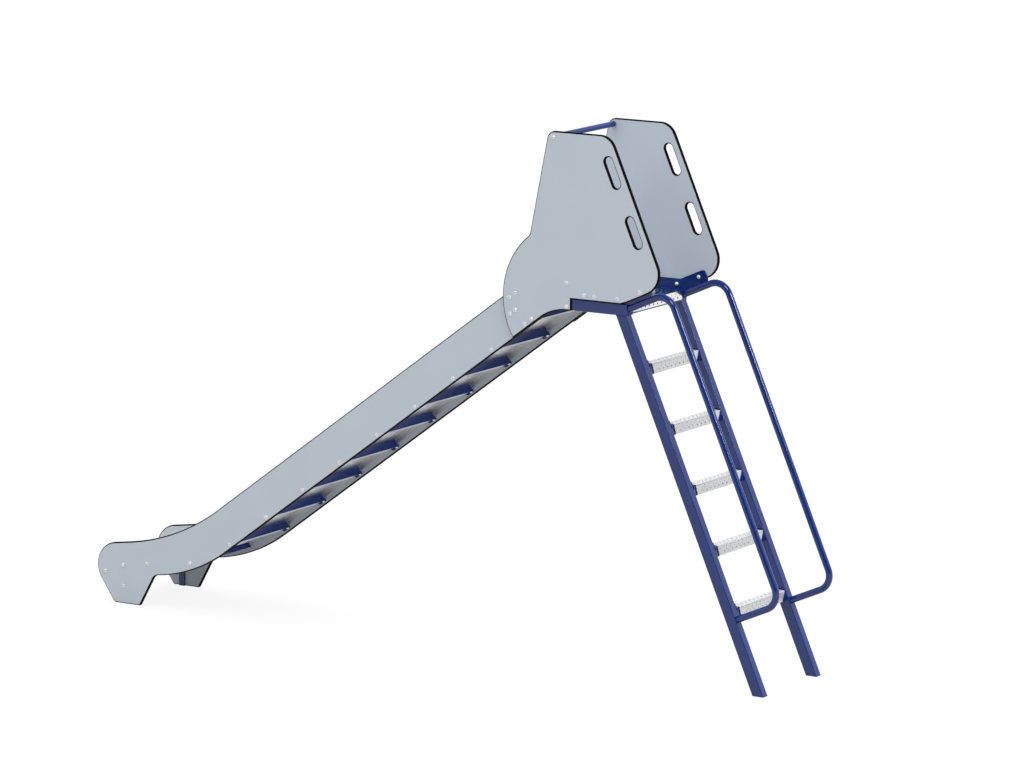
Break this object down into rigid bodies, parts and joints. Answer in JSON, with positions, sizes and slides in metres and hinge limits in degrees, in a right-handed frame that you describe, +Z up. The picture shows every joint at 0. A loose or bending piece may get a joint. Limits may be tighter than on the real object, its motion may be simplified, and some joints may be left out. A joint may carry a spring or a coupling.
{
  "type": "kids slide",
  "caption": "Free-standing playground slide: stainless chute between laminate side panels, raked ladder with handrails, and a small platform under a tall grip hood.",
  "frame": {"origin": "middle of the footprint, on the ground", "axes": "+X from the chute's exit towards the ladder, +Y across to the right-hand side of someone facing the exit, +Z up"},
  "size_m": [3.5437, 0.5136, 2.3175],
  "materials": {
    "laminate": "smooth grey compact laminate with a black core",
    "stainless_sheet": "cold-rolled stainless sheet",
    "blue_frame": "semi-gloss blue powder coat",
    "galvanised_sheet": "galvanised perforated sheet",
    "stainless_fasteners": "polished stainless"
  },
  "bodies": {
    "root": {"chute_side_left": "laminate", "chute_side_right": "laminate", "chute_bed": "stainless_sheet", "hood_panel_left": "laminate", "hood_panel_right": "laminate", "guard_bar": "blue_frame", "cross_member_1": "blue_frame", "cross_member_2": "blue_frame", "cross_member_3": "blue_frame", "cross_member_4": "blue_frame", "cross_member_5": "blue_frame", "cross_member_6": "blue_frame", "cross_member_7": "blue_frame", "cross_member_8": "blue_frame", "cross_member_9": "blue_frame", "cross_member_10": "blue_frame", "exit_tie": "blue_frame", "nose_tie": "blue_frame", "exit_post_left": "blue_frame", "exit_post_right": "blue_frame", "platform_frame_left": "blue_frame", "platform_frame_right": "blue_frame", "platform_tie": "blue_frame", "platform_deck": "galvanised_sheet", "stringer_left": "blue_frame", "stringer_right": "blue_frame", "tread_1": "galvanised_sheet", "tread_2": "galvanised_sheet", "tread_3": "galvanised_sheet", "tread_4": "galvanised_sheet", "tread_5": "galvanised_sheet", "bracket_left_1": "blue_frame", "bracket_left_2": "blue_frame", "bracket_left_3": "blue_frame", "bracket_left_4": "blue_frame", "bracket_left_5": "blue_frame", "bracket_right_1": "blue_frame", "bracket_right_2": "blue_frame", "bracket_right_3": "blue_frame", "bracket_right_4": "blue_frame", "bracket_right_5": "blue_frame", "handrail_left": "blue_frame", "handrail_right": "blue_frame", "chute_bolts_left": "stainless_fasteners", "chute_bolts_right": "stainless_fasteners", "chute_nuts_left": "stainless_fasteners", "chute_nuts_right": "stainless_fasteners", "hood_bolts_left": "stainless_fasteners", "hood_bolts_right": "stainless_fasteners", "hood_nuts_left": "stainless_fasteners", "hood_nuts_right": "stainless_fasteners"}
  },
  "joints": []
}
